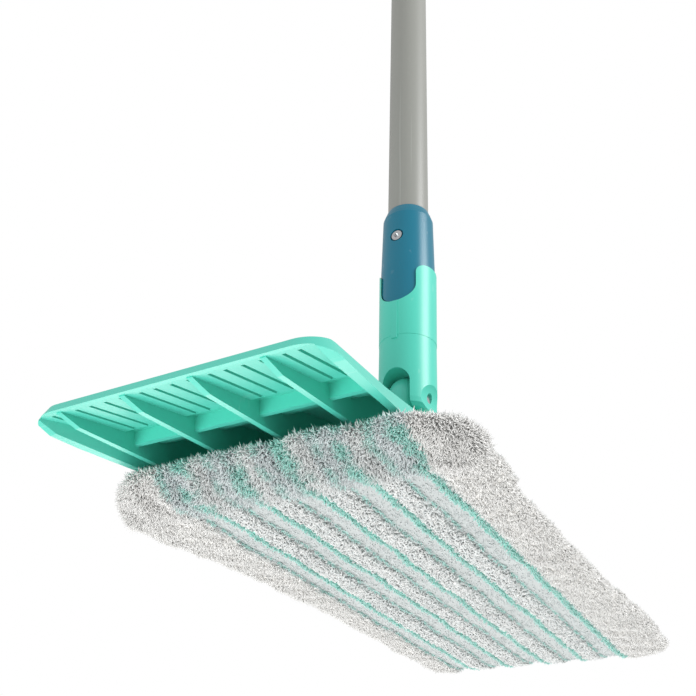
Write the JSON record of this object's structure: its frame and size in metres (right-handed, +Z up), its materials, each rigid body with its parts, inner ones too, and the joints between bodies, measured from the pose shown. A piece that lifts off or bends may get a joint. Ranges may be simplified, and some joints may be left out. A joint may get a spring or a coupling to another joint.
{
  "type": "flat mop",
  "caption": "Flat floor mop: steel handle in a click socket on a two-way joint, folding slotted plate with ribs, and a striped microfibre pad.",
  "frame": {"origin": "on the floor under the pad's sole, on the handle's axis", "axes": "+Z up the handle, +X along the plate towards its far wing, +Y across the plate"},
  "size_m": [0.3521, 0.15, 1.3232],
  "materials": {
    "tube_paint": "grey satin paint on steel",
    "core_plastic": "moulded, dark grey",
    "blue_plastic": "moulded, petrol blue, satin",
    "mint_plastic": "moulded, mint green, satin",
    "grip_plastic": "soft-touch, petrol blue",
    "steel": "bright zinc-plated",
    "magnet": "nickel-plated",
    "microfibre": "white microfibre pile with turquoise stripes",
    "pocket_cloth": "white knitted cloth"
  },
  "bodies": {
    "pole": {"pole_tube": "tube_paint", "click_spigot": "core_plastic", "click_sleeve": "blue_plastic", "sleeve_screw": "steel", "hand_grip": "grip_plastic", "hanging_cap": "blue_plastic"},
    "button": {"release_button": "blue_plastic"},
    "socket": {"socket_shell": "mint_plastic", "upper_pin": "steel"},
    "block": {"joint_block": "mint_plastic"},
    "hub": {"hub_saddle": "mint_plastic", "lower_pin": "steel", "near_wing_pins": "steel", "far_wing_pins": "steel", "hub_magnets": "magnet", "pedal_pin": "steel", "pedal_spring": "steel", "pad_middle": "microfibre"},
    "pedal": {"lock_pedal": "blue_plastic"},
    "wing_near": {"near_wing": "mint_plastic", "pad_near": "microfibre"},
    "wing_far": {"far_wing": "mint_plastic", "magnet_keepers": "steel", "pad_far": "microfibre", "pad_pocket": "pocket_cloth"}
  },
  "joints": [
    {"name": "button_press", "type": "slide", "parent": "pole", "child": "button", "axis": [-1, 0, 0], "range_m": [0, 0.002], "stiffness_N_per_m": 600},
    {"name": "socket_release", "type": "slide", "parent": "pole", "child": "socket", "axis": [0, 0, -1], "range_m": [0, 0.075]},
    {"name": "handle_lean", "type": "hinge", "parent": "socket", "child": "block", "pos_m": [0, 0, 0.088], "axis": [0, 1, 0], "range_deg": [-70, 70]},
    {"name": "handle_swing", "type": "hinge", "parent": "block", "child": "hub", "pos_m": [0, 0, 0.063], "axis": [1, 0, 0], "range_deg": [-70, 70]},
    {"name": "near_wing_fold", "type": "hinge", "parent": "hub", "child": "wing_near", "pos_m": [-0.03, 0, 0.0424], "axis": [0, -1, 0], "range_deg": [0, 60], "deforming": ["pad_middle"]},
    {"name": "far_wing_fold", "type": "hinge", "parent": "hub", "child": "wing_far", "pos_m": [0.03, 0, 0.0424], "axis": [0, 1, 0], "range_deg": [0, 60], "deforming": ["pad_middle"]},
    {"name": "pedal_press", "type": "hinge", "parent": "hub", "child": "pedal", "pos_m": [-0.016, 0.028, 0.0504], "axis": [0, 1, 0], "range_deg": [0, 10], "stiffness_Nm_per_rad": 0.8, "deforming": ["pedal_spring"]}
  ]
}
